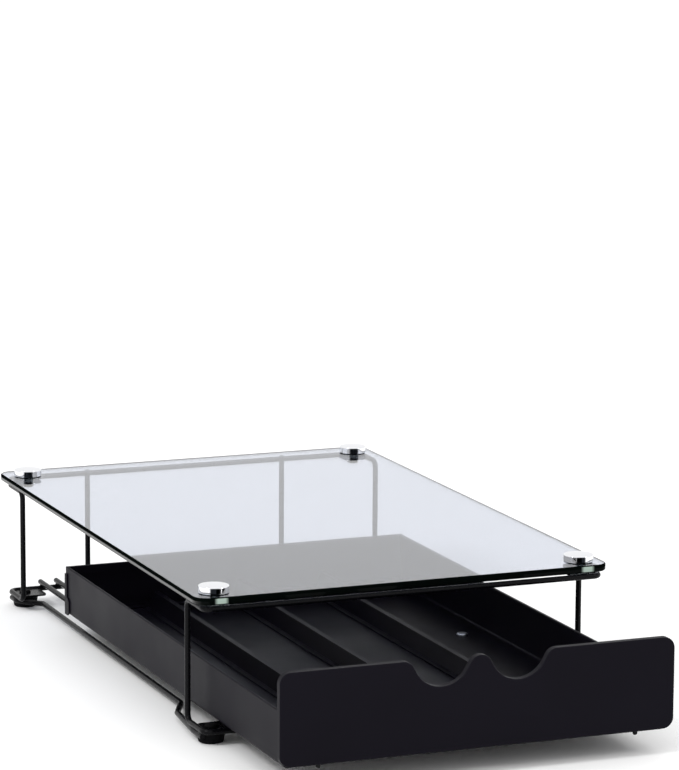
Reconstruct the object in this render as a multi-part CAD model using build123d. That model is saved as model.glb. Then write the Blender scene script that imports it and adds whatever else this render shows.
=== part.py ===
"""Coffee pod drawer: a wire stand with a glass top over a sheet-metal drawer on twin rails.

Millimetres, +Z up. The stand is drawn about its own centre and the drawer is drawn where it
is at rest, pulled part of the way out towards -Y. On writing, everything is moved so that the
origin is the middle of the whole footprint, on the surface that the feet stand on.
"""
import os
from math import cos, radians, sin, sqrt

from build123d import *

# ---------------------------------------------------------------- driving dimensions
# wire stand
WIRE_D = 4.0
WIRE_BEND_R = 5.5
POST_X = 143.8
LEG_REACH_Y = 219.0
LEG_REACH_PAST_POST = 34.3
SIDE_WIRE_Z = 5.5
SIDE_WIRE_END_INSET = 5.0
SIDE_WIRE_DRAWN_IN = 15.8
SIDE_REAR_FLARE_INSET = 16.0
SIDE_REAR_ELBOW_IN = 3.8
SIDE_REAR_ELBOW_INSET = 22.0
SIDE_REAR_STRAIGHT_INSET = 34.5
SIDE_FRONT_STRAIGHT_INSET = 92.0
SIDE_FRONT_ELBOW_IN = 5.0
SIDE_FRONT_ELBOW_INSET = 69.0
SIDE_FRONT_FLARE_INSET = 23.0
RAIL_FROM_DRAWER_SIDE = 22.7
RAIL_HALF_SPACING = 6.3
RAIL_FRONT_OVERHANG = 3.0
RAIL_REAR_OVERHANG = 6.0
WIRE_END_R = 1.2
STOP_WIRE_X = 80.0

# glass top
GLASS_PAST_POST = 6.2
GLASS_PAST_LEG = 6.0
GLASS_THICKNESS = 5.0
GLASS_TOP_Z = 101.0
GLASS_SETBACK = 3.4
GLASS_CORNER_R = 10.0
GLASS_EDGE_BEVEL = 0.7
GLASS_HOLE_D = 8.0

# plates welded into the corners of the stand
PLATE_THICKNESS = 1.2
PLATE_EDGE_GAP = 0.05
FOOT_PLATE_WIDTH = 20.2
FOOT_PLATE_LENGTH = 21.0
GLASS_TAB_WIDTH = 17.6
GLASS_TAB_LENGTH = 20.0
PLATE_CORNER_R = 3.6

# rubber feet
FOOT_FROM_POST = 8.3
FOOT_FROM_LEG = 11.7
FOOT_TOP_R = 10.0
FOOT_BOTTOM_R = 8.4
FOOT_EDGE_R = 1.6
FOOT_NECK_R = 3.0
FOOT_KNOB_R = 4.3
FOOT_KNOB_HEIGHT = 2.2
FOOT_HOLE_CLEARANCE = 0.15
FOOT_WIRE_CLEARANCE = 0.2

# glass fixings
FIXING_FROM_POST = 10.8
FIXING_FROM_LEG = 13.0
GLASS_WIRE_GAP = 1.2
CAP_R = 10.3
CAP_SIDE_HEIGHT = 4.5
CAP_DOME = 0.4
CAP_EDGE_R = 0.5
CAP_WASHER_THICKNESS = 0.5
CAP_WASHER_R = 9.7
SPACER_R = 7.5
SLEEVE_CLEARANCE = 0.1
BOLT_R = 2.5
BOLT_IN_CAP = 2.6
BOLT_BELOW_NUT = 0.6
BOLT_CLEARANCE = 0.1
NUT_HEIGHT = 3.2
NUT_ACROSS_FLATS = 8.0

# drawer
OPEN_AT_REST = 112.0
RUNNING_GAP = 0.3
STOP_GAP = 0.3
SHEET = 1.0
SHEET_GAP = 0.02
DRAWER_SIDE_GAP = 7.4
SIDE_HEIGHT = 35.6
TRAY_BEND_R = 1.6
HEM_DEPTH = 6.0
HEM_THICKNESS = 2.2
BACK_FLANGE_DEPTH = 4.5
BACK_FLANGE_LOW_DEPTH = 9.0
BACK_FLANGE_STEP_HEIGHT = 13.0
BACK_FLANGE_CHAMFER = 2.6
BACK_FLANGE_TOP_DROP = 5.0
WELD_FLANGE_DEPTH = 8.0

# drawer front
FRONT_PAST_GLASS = 9.62
FRONT_PAST_SIDE = 4.2
FRONT_ABOVE_TRAY_UNDER = 1.5
FRONT_HEIGHT = 61.7
FRONT_THICKNESS = 5.5
FRONT_SKIN = 1.2
FRONT_CORNER_R = 7.5
FRONT_EDGE_R = 1.2
SCALLOP_PITCH = 54.0
SCALLOP_BOTTOM_R = 20.6
SCALLOP_SHOULDER_R = 8.0
SCALLOP_FLANK_ANGLE = 62.0
LINER_CLEARANCE = 0.15
FRONT_SCREW_FROM_SIDE = 22.4
FRONT_SCREW_LOW = 11.7
FRONT_SCREW_PITCH = 15.0
FRONT_SCREW_R = 1.5
FRONT_SCREW_LENGTH = 4.0
FRONT_SCREW_CLEARANCE = 0.1
FRONT_SCREW_HEAD_R = 2.8
FRONT_SCREW_HEAD_HEIGHT = 1.7
FRONT_BOSS_R = 3.2

# drawer floor
RIB_COUNT = 3
RIB_HEIGHT = 12.0
RIB_BASE_WIDTH = 22.0
RIB_FOOT_WIDTH = 4.6
RIB_TOP_WIDTH = 4.2
RIB_END_GAP = 1.5

# what guides the drawer along the rails
NUB_R = 1.6
NUB_DROP = 2.7
GUIDE_FROM_BACK = 168.0
GUIDE_SCREW_R = 2.0
GUIDE_HEAD_R = 4.2
GUIDE_HEAD_HEIGHT = 1.6
GUIDE_BUSH_SIDE_GAP = 0.4
GUIDE_WASHER_R = 5.5
GUIDE_WASHER_THICKNESS = 1.0
GUIDE_WASHER_GAP = 0.35
GUIDE_NUT_HEIGHT = 3.0
GUIDE_NUT_ACROSS_FLATS = 7.0
GUIDE_SCREW_BELOW_NUT = 0.6
GUIDE_CLEARANCE = 0.1

# ---------------------------------------------------------------- derived places
WIRE_R = WIRE_D / 2
LEG_LOW_Z = SIDE_WIRE_Z + WIRE_D
RAIL_Z = LEG_LOW_Z + WIRE_D
POST_Y = LEG_REACH_Y - LEG_REACH_PAST_POST
DRAWER_HALF_WIDTH = POST_X - WIRE_R - DRAWER_SIDE_GAP
RAIL_MID_X = DRAWER_HALF_WIDTH - RAIL_FROM_DRAWER_SIDE
RAIL_OUTER_X = RAIL_MID_X + RAIL_HALF_SPACING
RAIL_INNER_X = RAIL_MID_X - RAIL_HALF_SPACING
FOOT_X = POST_X - FOOT_FROM_POST
FOOT_Y = LEG_REACH_Y - FOOT_FROM_LEG
FIXING_X = POST_X - FIXING_FROM_POST
FIXING_Y = LEG_REACH_Y - FIXING_FROM_LEG
GLASS_WIDTH = 2 * (POST_X + GLASS_PAST_POST)
GLASS_LENGTH = 2 * (LEG_REACH_Y + GLASS_PAST_LEG)
GLASS_UNDER_Z = GLASS_TOP_Z - GLASS_THICKNESS
LEG_HIGH_Z = GLASS_UNDER_Z - GLASS_WIRE_GAP - WIRE_R
FOOT_PLATE_UNDER_Z = LEG_LOW_Z - PLATE_THICKNESS / 2
FOOT_PLATE_TOP_Z = LEG_LOW_Z + PLATE_THICKNESS / 2
TAB_UNDER_Z = LEG_HIGH_Z - PLATE_THICKNESS / 2
TAB_TOP_Z = LEG_HIGH_Z + PLATE_THICKNESS / 2
STOP_WIRE_Y = LEG_REACH_Y + WIRE_D

TRAY_UNDER_Z = RAIL_Z + WIRE_R + RUNNING_GAP
TRAY_FLOOR_Z = TRAY_UNDER_Z + SHEET
SIDE_TOP_Z = TRAY_UNDER_Z + SIDE_HEIGHT
BACK_CLOSED_Y = STOP_WIRE_Y - WIRE_R - STOP_GAP
BACK_Y = BACK_CLOSED_Y - OPEN_AT_REST
FRONT_CLOSED_Y = GLASS_SETBACK - GLASS_LENGTH / 2 - FRONT_PAST_GLASS
FRONT_Y = FRONT_CLOSED_Y - OPEN_AT_REST
FRONT_HALF_WIDTH = DRAWER_HALF_WIDTH + FRONT_PAST_SIDE
FRONT_BOTTOM_Z = TRAY_UNDER_Z + FRONT_ABOVE_TRAY_UNDER
FRONT_TOP_Z = FRONT_BOTTOM_Z + FRONT_HEIGHT
FRONT_SCREW_X = DRAWER_HALF_WIDTH - FRONT_SCREW_FROM_SIDE
BACK_FLANGE_STEP_Z = TRAY_UNDER_Z + BACK_FLANGE_STEP_HEIGHT
FRONT_BACK_Y = FRONT_Y + FRONT_THICKNESS
TRAY_FRONT_Y = FRONT_BACK_Y + SHEET_GAP
TRAY_BACK_Y = BACK_Y - SHEET - SHEET_GAP
GUIDE_Y = BACK_Y - GUIDE_FROM_BACK
GLASS_REAR_Y = GLASS_SETBACK + GLASS_LENGTH / 2
SHIFT_Y = -(FRONT_Y + GLASS_REAR_Y) / 2

SIDES = {"left": -1, "right": 1}
ENDS = {"front": -1, "rear": 1}


# ---------------------------------------------------------------- helpers
def block(x0, x1, y0, y1, z0, z1):
    """A box between two corners."""
    middle = Pos((x0 + x1) / 2, (y0 + y1) / 2, (z0 + z1) / 2)
    return middle * Box(abs(x1 - x0), abs(y1 - y0), abs(z1 - z0))


def rod(x, y, z0, z1, radius):
    """An upright cylinder."""
    return Pos(x, y, (z0 + z1) / 2) * Cylinder(radius, z1 - z0)


def bent_wire(points, closed=False):
    """Round wire along straight runs, with a tangent bend at each corner."""
    path = FilletPolyline(*points, radius=WIRE_BEND_R, close=closed)
    section = Plane(origin=path @ 0, z_dir=path % 0) * Circle(WIRE_R)
    return sweep(section, path=path)


def straight_wire(start, end):
    """Round wire between two points, with its ends rounded."""
    path = Line(start, end)
    section = Plane(origin=start, z_dir=path % 0) * Circle(WIRE_R)
    wire = extrude(section, amount=path.length)
    return fillet(wire.edges().filter_by(GeomType.CIRCLE), WIRE_END_R)


def hexagon(across_flats, height):
    """A hexagonal prism standing on z = 0."""
    return extrude(RegularPolygon(across_flats / 2, 6, major_radius=False), amount=height)


def group(solids):
    """Several separate solids that share one node."""
    return Compound([piece.solid() for piece in solids])


parts = {}


# ---------------------------------------------------------------- stand: wires
def leg_frame(end):
    """One closed loop of wire: two posts, and a cross wire set outwards at top and bottom."""
    post_y, reach_y = end * POST_Y, end * LEG_REACH_Y
    corners = [
        (-POST_X, reach_y, LEG_HIGH_Z),
        (-POST_X, post_y, LEG_HIGH_Z),
        (-POST_X, post_y, LEG_LOW_Z),
        (-POST_X, reach_y, LEG_LOW_Z),
        (POST_X, reach_y, LEG_LOW_Z),
        (POST_X, post_y, LEG_LOW_Z),
        (POST_X, post_y, LEG_HIGH_Z),
        (POST_X, reach_y, LEG_HIGH_Z),
    ]
    return bent_wire(corners, closed=True)


def side_path(side):
    """The corners of a low side wire, from its rear end to its front end."""
    insets = [
        (0, 1, SIDE_WIRE_END_INSET),
        (0, 1, SIDE_REAR_FLARE_INSET),
        (SIDE_REAR_ELBOW_IN, 1, SIDE_REAR_ELBOW_INSET),
        (SIDE_WIRE_DRAWN_IN, 1, SIDE_REAR_STRAIGHT_INSET),
        (SIDE_WIRE_DRAWN_IN, -1, SIDE_FRONT_STRAIGHT_INSET),
        (SIDE_FRONT_ELBOW_IN, -1, SIDE_FRONT_ELBOW_INSET),
        (0, -1, SIDE_FRONT_FLARE_INSET),
        (0, -1, SIDE_WIRE_END_INSET),
    ]
    return [(side * (POST_X - x), end * (LEG_REACH_Y - y), SIDE_WIRE_Z) for x, end, y in insets]


def side_wire(side):
    """The low wire that joins both leg frames, drawn in under the drawer's side between them."""
    return bent_wire(side_path(side))


def rail(x):
    """One wire of a twin rail, lying on both low cross wires."""
    front_y = -LEG_REACH_Y - RAIL_FRONT_OVERHANG
    return straight_wire((x, front_y, RAIL_Z), (x, LEG_REACH_Y + RAIL_REAR_OVERHANG, RAIL_Z))


def stop_wire(side):
    """An upright wire outside the rear leg frame, against which the drawer closes."""
    x = side * STOP_WIRE_X
    low = (x, STOP_WIRE_Y, LEG_LOW_Z - WIRE_R)
    return straight_wire(low, (x, STOP_WIRE_Y, LEG_HIGH_Z + WIRE_R))


for end_name, end in ENDS.items():
    parts[f"{end_name}_leg_frame"] = leg_frame(end)
for side_name, side in SIDES.items():
    parts[f"{side_name}_side_wire"] = side_wire(side)
    parts[f"{side_name}_outer_rail"] = rail(side * RAIL_OUTER_X)
    parts[f"{side_name}_inner_rail"] = rail(side * RAIL_INNER_X)
    parts[f"{side_name}_stop_wire"] = stop_wire(side)


# ---------------------------------------------------------------- stand: corner plates and feet
def corner_plate(side, end, width, length, z0, hole):
    """A small rounded plate inside a corner of a wire loop, with one hole given as x, y, radius."""
    inset = WIRE_R + PLATE_EDGE_GAP
    x0 = side * (POST_X - inset)
    y0 = end * (LEG_REACH_Y - inset)
    z1 = z0 + PLATE_THICKNESS
    plate = block(x0, x0 - side * width, y0, y0 - end * length, z0, z1)
    plate = fillet(plate.edges().filter_by(Axis.Z), PLATE_CORNER_R)
    x, y, radius = hole
    return plate - rod(side * x, end * y, z0 - 1, z1 + 1, radius)


def foot_plate(side, end):
    """The low corner plate, which carries a foot."""
    hole = (FOOT_X, FOOT_Y, FOOT_NECK_R + FOOT_HOLE_CLEARANCE)
    return corner_plate(side, end, FOOT_PLATE_WIDTH, FOOT_PLATE_LENGTH, FOOT_PLATE_UNDER_Z, hole)


def side_wire_slot(side):
    """The room that a foot leaves for the side wire, open upwards."""
    path = FilletPolyline(*side_path(side), radius=WIRE_BEND_R)
    low = -WIRE_R - FOOT_WIRE_CLEARANCE
    high = FOOT_PLATE_TOP_Z - SIDE_WIRE_Z
    plane = Plane(origin=path @ 0, x_dir=(1, 0, 0), z_dir=path % 0)
    outline = Pos(0, (low + high) / 2) * Rectangle(WIRE_D + 2 * FOOT_WIRE_CLEARANCE, high - low)
    return sweep(plane * outline, path=path)


def foot(side, end):
    """A turned rubber foot: tapered pad, neck through the plate's hole, and a round knob on top."""
    under, top = FOOT_PLATE_UNDER_Z, FOOT_PLATE_TOP_Z
    pad = Pos(0, 0, under / 2) * Cone(FOOT_BOTTOM_R, FOOT_TOP_R, under)
    pad = fillet(pad.faces().sort_by(Axis.Z)[0].edges(), FOOT_EDGE_R)
    knob = rod(0, 0, top, top + FOOT_KNOB_HEIGHT, FOOT_KNOB_R)
    knob = fillet(knob.faces().sort_by(Axis.Z)[-1].edges(), FOOT_KNOB_HEIGHT * 0.8)
    body = Pos(side * FOOT_X, end * FOOT_Y, 0) * (pad + rod(0, 0, under - 1, top + 1, FOOT_NECK_R) + knob)
    slot_x = POST_X - WIRE_R - FOOT_WIRE_CLEARANCE
    slot_z = SIDE_WIRE_Z - WIRE_R - FOOT_WIRE_CLEARANCE
    y0, y1 = end * (FOOT_Y - 2 * FOOT_TOP_R), end * (FOOT_Y + 2 * FOOT_TOP_R)
    body -= block(side * slot_x, side * (slot_x + 2 * FOOT_TOP_R), y0, y1, slot_z, top)
    cross_y = end * (LEG_REACH_Y - WIRE_R - FOOT_WIRE_CLEARANCE)
    cross_z = LEG_LOW_Z - WIRE_R - FOOT_WIRE_CLEARANCE
    body -= block(0, side * (slot_x + 2 * FOOT_TOP_R), cross_y, y1, cross_z, top)
    return body - side_wire_slot(side)


for end_name, end in ENDS.items():
    for side_name, side in SIDES.items():
        parts[f"{end_name}_{side_name}_foot_plate"] = foot_plate(side, end)
        parts[f"{end_name}_{side_name}_foot"] = foot(side, end)


# ---------------------------------------------------------------- glass top and its fixings
BOLT_HOLE_R = BOLT_R + BOLT_CLEARANCE
CAP_BASE_Z = GLASS_TOP_Z + CAP_WASHER_THICKNESS


def at_fixings(piece):
    """The same small piece at each of the four glass fixings."""
    places = [(side * FIXING_X, end * FIXING_Y) for end in ENDS.values() for side in SIDES.values()]
    return group([Pos(x, y, 0) * piece for x, y in places])


def glass_tab(side, end):
    """The high corner plate, to which the glass is bolted through a spacer."""
    hole = (FIXING_X, FIXING_Y, BOLT_HOLE_R)
    return corner_plate(side, end, GLASS_TAB_WIDTH, GLASS_TAB_LENGTH, TAB_UNDER_Z, hole)


def glass_top():
    """Tempered sheet with rounded corners, ground edges and a hole at each fixing."""
    outline = RectangleRounded(GLASS_WIDTH, GLASS_LENGTH, GLASS_CORNER_R)
    sheet = Pos(0, GLASS_SETBACK, GLASS_UNDER_Z) * extrude(outline, amount=GLASS_THICKNESS)
    faces = [sheet.faces().sort_by(Axis.Z)[0], sheet.faces().sort_by(Axis.Z)[-1]]
    sheet = chamfer([edge for face in faces for edge in face.edges()], GLASS_EDGE_BEVEL)
    for end in ENDS.values():
        for side in SIDES.values():
            hole_r = GLASS_HOLE_D / 2
            sheet -= rod(side * FIXING_X, end * FIXING_Y, GLASS_UNDER_Z - 1, GLASS_TOP_Z + 1, hole_r)
    return sheet


def ring(outer_r, inner_r, z0, z1):
    """A flat washer."""
    return rod(0, 0, z0, z1, outer_r) - rod(0, 0, z0 - 1, z1 + 1, inner_r)


def cap():
    """A turned cap with a slightly domed top and a blind hole for the bolt."""
    top_z = CAP_BASE_Z + CAP_SIDE_HEIGHT + CAP_DOME
    dome_r = (CAP_R ** 2 + CAP_DOME ** 2) / (2 * CAP_DOME)
    body = rod(0, 0, CAP_BASE_Z, top_z, CAP_R) & Pos(0, 0, top_z - dome_r) * Sphere(dome_r)
    rims = [e for e in body.edges().filter_by(GeomType.CIRCLE) if abs(e.radius - CAP_R) < 0.01]
    body = fillet(max(rims, key=lambda e: e.center().Z), CAP_EDGE_R)
    hole_top = CAP_BASE_Z + BOLT_IN_CAP + BOLT_CLEARANCE
    return body - rod(0, 0, CAP_BASE_Z - 1, hole_top, BOLT_HOLE_R)


def glass_bolt():
    """A plain stud from inside the cap to below the nut."""
    low = TAB_UNDER_Z - NUT_HEIGHT - BOLT_BELOW_NUT
    return rod(0, 0, low, CAP_BASE_Z + BOLT_IN_CAP, BOLT_R)


def glass_nut():
    """A hexagon nut tight under the tab."""
    low = TAB_UNDER_Z - NUT_HEIGHT
    nut = Pos(0, 0, low) * hexagon(NUT_ACROSS_FLATS, NUT_HEIGHT)
    return nut - rod(0, 0, low - 1, TAB_UNDER_Z + 1, BOLT_HOLE_R)


parts["glass_top"] = glass_top()
for end_name, end in ENDS.items():
    for side_name, side in SIDES.items():
        parts[f"{end_name}_{side_name}_glass_tab"] = glass_tab(side, end)
        parts[f"{end_name}_{side_name}_cap"] = Pos(side * FIXING_X, end * FIXING_Y, 0) * cap()
sleeve_r = GLASS_HOLE_D / 2 - SLEEVE_CLEARANCE
sleeve_low_z = GLASS_UNDER_Z + SLEEVE_CLEARANCE
sleeve_high_z = GLASS_TOP_Z - SLEEVE_CLEARANCE
parts["cap_washers"] = at_fixings(ring(CAP_WASHER_R, BOLT_HOLE_R, GLASS_TOP_Z, CAP_BASE_Z))
parts["glass_sleeves"] = at_fixings(ring(sleeve_r, BOLT_HOLE_R, sleeve_low_z, sleeve_high_z))
parts["glass_spacers"] = at_fixings(ring(SPACER_R, BOLT_HOLE_R, TAB_TOP_Z, GLASS_UNDER_Z))
parts["glass_bolts"] = at_fixings(glass_bolt())
parts["glass_nuts"] = at_fixings(glass_nut())


# ---------------------------------------------------------------- drawer front
SCALLOP_TURN = radians(SCALLOP_FLANK_ANGLE)
SCALLOP_ARCS_RUN = (SCALLOP_BOTTOM_R + SCALLOP_SHOULDER_R) * sin(SCALLOP_TURN)
SCALLOP_FLANK = (SCALLOP_PITCH / 2 - SCALLOP_ARCS_RUN) / cos(SCALLOP_TURN)
SCALLOP_ARCS_DROP = (SCALLOP_BOTTOM_R + SCALLOP_SHOULDER_R) * (1 - cos(SCALLOP_TURN))
SCALLOP_DEPTH = SCALLOP_ARCS_DROP + SCALLOP_FLANK * sin(SCALLOP_TURN)


def front_outline():
    """The front's face in x, z: a rounded rectangle whose top edge dips in two finger scallops."""
    pitch, turn = SCALLOP_PITCH, SCALLOP_FLANK_ANGLE
    shoulder_z = FRONT_TOP_Z - SCALLOP_SHOULDER_R
    bottom_z = FRONT_TOP_Z - SCALLOP_DEPTH + SCALLOP_BOTTOM_R
    left = CenterArc((-pitch, shoulder_z), SCALLOP_SHOULDER_R, 90, -turn)
    left_bottom = CenterArc((-pitch / 2, bottom_z), SCALLOP_BOTTOM_R, 270 - turn, 2 * turn)
    hump = CenterArc((0, shoulder_z), SCALLOP_SHOULDER_R, 90 + turn, -2 * turn)
    right_bottom = CenterArc((pitch / 2, bottom_z), SCALLOP_BOTTOM_R, 270 - turn, 2 * turn)
    right = CenterArc((pitch, shoulder_z), SCALLOP_SHOULDER_R, 90 + turn, -turn)
    arcs = [left, left_bottom, hump, right_bottom, right]
    flanks = [Line(a @ 1, b @ 0) for a, b in zip(arcs, arcs[1:])]
    rest = Polyline(right @ 1, (FRONT_HALF_WIDTH, FRONT_TOP_Z), (FRONT_HALF_WIDTH, FRONT_BOTTOM_Z),
                    (-FRONT_HALF_WIDTH, FRONT_BOTTOM_Z), (-FRONT_HALF_WIDTH, FRONT_TOP_Z), left @ 0)
    face = make_face(arcs + flanks + [rest])
    square = [v for v in face.vertices() if abs(abs(v.X) - FRONT_HALF_WIDTH) < 1e-3]
    return fillet(square, FRONT_CORNER_R)


def stand_up(outline, y0, y1):
    """An x, z outline made solid between two y planes."""
    return extrude(Plane.XZ.offset(-y0) * outline, amount=-(y1 - y0))


def front_screw_places():
    """The x, z places of the screws that hold the front to its liner."""
    low_z = FRONT_BOTTOM_Z + FRONT_SCREW_LOW
    heights = (low_z, low_z + FRONT_SCREW_PITCH)
    return [(side * FRONT_SCREW_X, z) for side in SIDES.values() for z in heights]


def peg(x, z, y0, y1, radius):
    """A cylinder lying along Y."""
    return Pos(x, (y0 + y1) / 2, z) * Rot(90, 0, 0) * Cylinder(radius, y1 - y0)


LINER_FRONT_Y = FRONT_BACK_Y - SHEET
LINER_INSET = FRONT_SKIN + LINER_CLEARANCE
FRONT_SCREW_TIP_Y = FRONT_BACK_Y - FRONT_SCREW_LENGTH
FRONT_SCREW_HOLE_R = FRONT_SCREW_R + FRONT_SCREW_CLEARANCE


def drawer_front():
    """A shallow pan: skin and rim in one, rounded along its front edge, with four screw bosses."""
    outline = front_outline()
    rim_back_y = FRONT_BACK_Y - SHEET_GAP
    pan = stand_up(outline, FRONT_Y, rim_back_y)
    front_face = pan.faces().sort_by(Axis.Y)[0]
    pan = fillet(front_face.edges(), FRONT_EDGE_R)
    pan -= stand_up(offset(outline, -FRONT_SKIN), FRONT_Y + FRONT_SKIN, FRONT_BACK_Y + 1)
    for x, z in front_screw_places():
        pan += peg(x, z, FRONT_Y + FRONT_SKIN, LINER_FRONT_Y - SHEET_GAP, FRONT_BOSS_R)
        hole_y = FRONT_SCREW_TIP_Y - FRONT_SCREW_CLEARANCE
        pan -= peg(x, z, hole_y, FRONT_BACK_Y + 1, FRONT_SCREW_HOLE_R)
    return pan


def front_liner():
    """The inner sheet of the front, flush in the pan's rim, with flanges along the tray."""
    wall_x = DRAWER_HALF_WIDTH - SHEET - SHEET_GAP
    floor_x = wall_x - TRAY_BEND_R
    plate = stand_up(offset(front_outline(), -LINER_INSET), LINER_FRONT_Y, FRONT_BACK_Y)
    flange_y = FRONT_BACK_Y + WELD_FLANGE_DEPTH
    low_z = TRAY_FLOOR_Z + SHEET_GAP
    step_z = FRONT_BOTTOM_Z + LINER_INSET + 2 * SHEET
    plate += block(-floor_x, floor_x, FRONT_BACK_Y, flange_y, low_z, low_z + SHEET)
    plate += block(-floor_x, floor_x, FRONT_BACK_Y, FRONT_BACK_Y + SHEET, low_z, step_z)
    flange_top = SIDE_TOP_Z - HEM_DEPTH - HEM_THICKNESS
    for side in SIDES.values():
        x0, x1 = side * wall_x, side * (wall_x - SHEET)
        plate += block(x0, x1, LINER_FRONT_Y, flange_y, low_z + 2 * TRAY_BEND_R, flange_top)
    for x, z in front_screw_places():
        plate -= peg(x, z, LINER_FRONT_Y - 1, FRONT_BACK_Y + 1, FRONT_SCREW_HOLE_R)
    return plate


def front_screw(x, z):
    """A short screw with a low round head, driven from inside the drawer."""
    seat_y = FRONT_BACK_Y + SHEET_GAP
    shank = peg(x, z, FRONT_SCREW_TIP_Y, seat_y, FRONT_SCREW_R)
    head = peg(x, z, seat_y, seat_y + FRONT_SCREW_HEAD_HEIGHT, FRONT_SCREW_HEAD_R)
    head = fillet(head.faces().sort_by(Axis.Y)[-1].edges(), FRONT_SCREW_HEAD_HEIGHT * 0.6)
    return shank + head


parts["drawer_front"] = drawer_front()
parts["front_liner"] = front_liner()
parts["front_screws"] = group([front_screw(x, z) for x, z in front_screw_places()])


# ---------------------------------------------------------------- drawer tray
def drawer_tray():
    """Floor and both sides in one folded sheet, with the tops of the sides hemmed inwards."""
    width, low, high = DRAWER_HALF_WIDTH, TRAY_UNDER_Z, SIDE_TOP_Z
    y0, y1 = TRAY_FRONT_Y, TRAY_BACK_Y
    tray = block(-width, width, y0, y1, low, high)
    bends = [e for e in tray.edges().filter_by(Axis.Y) if abs(e.center().Z - low) < 1e-3]
    tray = fillet(bends, TRAY_BEND_R + SHEET)
    inside = block(-width + SHEET, width - SHEET, y0 - 1, y1 + 1, low + SHEET, high + 1)
    bends = [e for e in inside.edges().filter_by(Axis.Y) if abs(e.center().Z - low - SHEET) < 1e-3]
    tray -= fillet(bends, TRAY_BEND_R)
    for side in SIDES.values():
        x0, x1 = side * (width - SHEET / 2), side * (width - HEM_THICKNESS)
        tray += block(x0, x1, y0, y1, high - HEM_DEPTH, high)
    tops = [e for e in tray.edges().filter_by(Axis.Y) if abs(e.center().Z - high) < 1e-3]
    tray = fillet(tops, HEM_THICKNESS * 0.42)
    for side in SIDES.values():
        hole_r = GUIDE_SCREW_R + GUIDE_CLEARANCE
        tray -= rod(side * RAIL_MID_X, GUIDE_Y, low - 1, low + SHEET + 1, hole_r)
    return tray


def drawer_back():
    """The rear sheet, whose flanges wrap round the outside of both sides, wider near the floor."""
    side_x = DRAWER_HALF_WIDTH + SHEET_GAP
    out_x = side_x + SHEET
    flange_top = SIDE_TOP_Z - BACK_FLANGE_TOP_DROP
    inner_y = BACK_Y - SHEET
    sheet = block(-out_x, out_x, inner_y, BACK_Y, TRAY_UNDER_Z, flange_top)
    sheet += block(-DRAWER_HALF_WIDTH, DRAWER_HALF_WIDTH, inner_y, BACK_Y, flange_top - 1, SIDE_TOP_Z)
    for side in SIDES.values():
        x0, x1 = side * side_x, side * out_x
        sheet += block(x0, x1, BACK_Y - BACK_FLANGE_DEPTH, BACK_Y, BACK_FLANGE_STEP_Z - 1, flange_top)
        low = block(x0, x1, BACK_Y - BACK_FLANGE_LOW_DEPTH, BACK_Y, TRAY_UNDER_Z, BACK_FLANGE_STEP_Z)
        nose = low.edges().filter_by(Axis.X).group_by(Axis.Y)[0]
        sheet += chamfer(nose, BACK_FLANGE_CHAMFER)
    wall_x = DRAWER_HALF_WIDTH - SHEET - TRAY_BEND_R - SHEET_GAP
    low_z = TRAY_FLOOR_Z + SHEET_GAP
    sheet += block(-wall_x, wall_x, BACK_Y - WELD_FLANGE_DEPTH, BACK_Y, low_z, low_z + SHEET)
    hem_x = DRAWER_HALF_WIDTH - HEM_THICKNESS - SHEET_GAP
    sheet += block(-hem_x, hem_x, BACK_Y - HEM_THICKNESS, BACK_Y, SIDE_TOP_Z - HEM_DEPTH, SIDE_TOP_Z)
    return sheet


def lane_rib(x):
    """A hat-section strip on the floor that keeps two rows of pods apart."""
    foot_in, top = RIB_BASE_WIDTH / 2 - RIB_FOOT_WIDTH, RIB_TOP_WIDTH / 2
    run, rise = foot_in - top, RIB_HEIGHT - SHEET
    across = SHEET * sqrt(run ** 2 + rise ** 2) / rise
    outer = [(RIB_BASE_WIDTH / 2, 0), (RIB_BASE_WIDTH / 2, SHEET), (foot_in, SHEET), (top, RIB_HEIGHT)]
    inner = [(top + SHEET * run / rise - across, rise), (foot_in + SHEET * run / rise - across, 0)]
    points = outer + [(-a, b) for a, b in reversed(outer)] + [(-a, b) for a, b in reversed(inner)] + inner
    section = make_face(Polyline(*points, close=True))
    y0 = TRAY_FRONT_Y + WELD_FLANGE_DEPTH + RIB_END_GAP
    y1 = BACK_Y - WELD_FLANGE_DEPTH - RIB_END_GAP
    return Pos(x, 0, TRAY_FLOOR_Z + SHEET_GAP) * stand_up(section, y0, y1)


parts["drawer_tray"] = drawer_tray()
parts["drawer_back"] = drawer_back()
LANE_PITCH = 2 * (DRAWER_HALF_WIDTH - SHEET) / (RIB_COUNT + 1)
for number in range(RIB_COUNT):
    offset_x = (number - (RIB_COUNT - 1) / 2) * LANE_PITCH
    parts[f"lane_rib_{number + 1}"] = lane_rib(offset_x)


# ---------------------------------------------------------------- drawer guides
SLOT_WIDTH = RAIL_OUTER_X - RAIL_INNER_X - WIRE_D
WASHER_TOP_Z = RAIL_Z - WIRE_R - GUIDE_WASHER_GAP
WASHER_LOW_Z = WASHER_TOP_Z - GUIDE_WASHER_THICKNESS
GUIDE_NUT_LOW_Z = WASHER_LOW_Z - GUIDE_NUT_HEIGHT


GUIDE_HOLE_R = GUIDE_SCREW_R + GUIDE_CLEARANCE


def at_guides(piece):
    """The same small piece at the left and the right guide."""
    return group([Pos(side * RAIL_MID_X, GUIDE_Y, 0) * piece for side in SIDES.values()])


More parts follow.
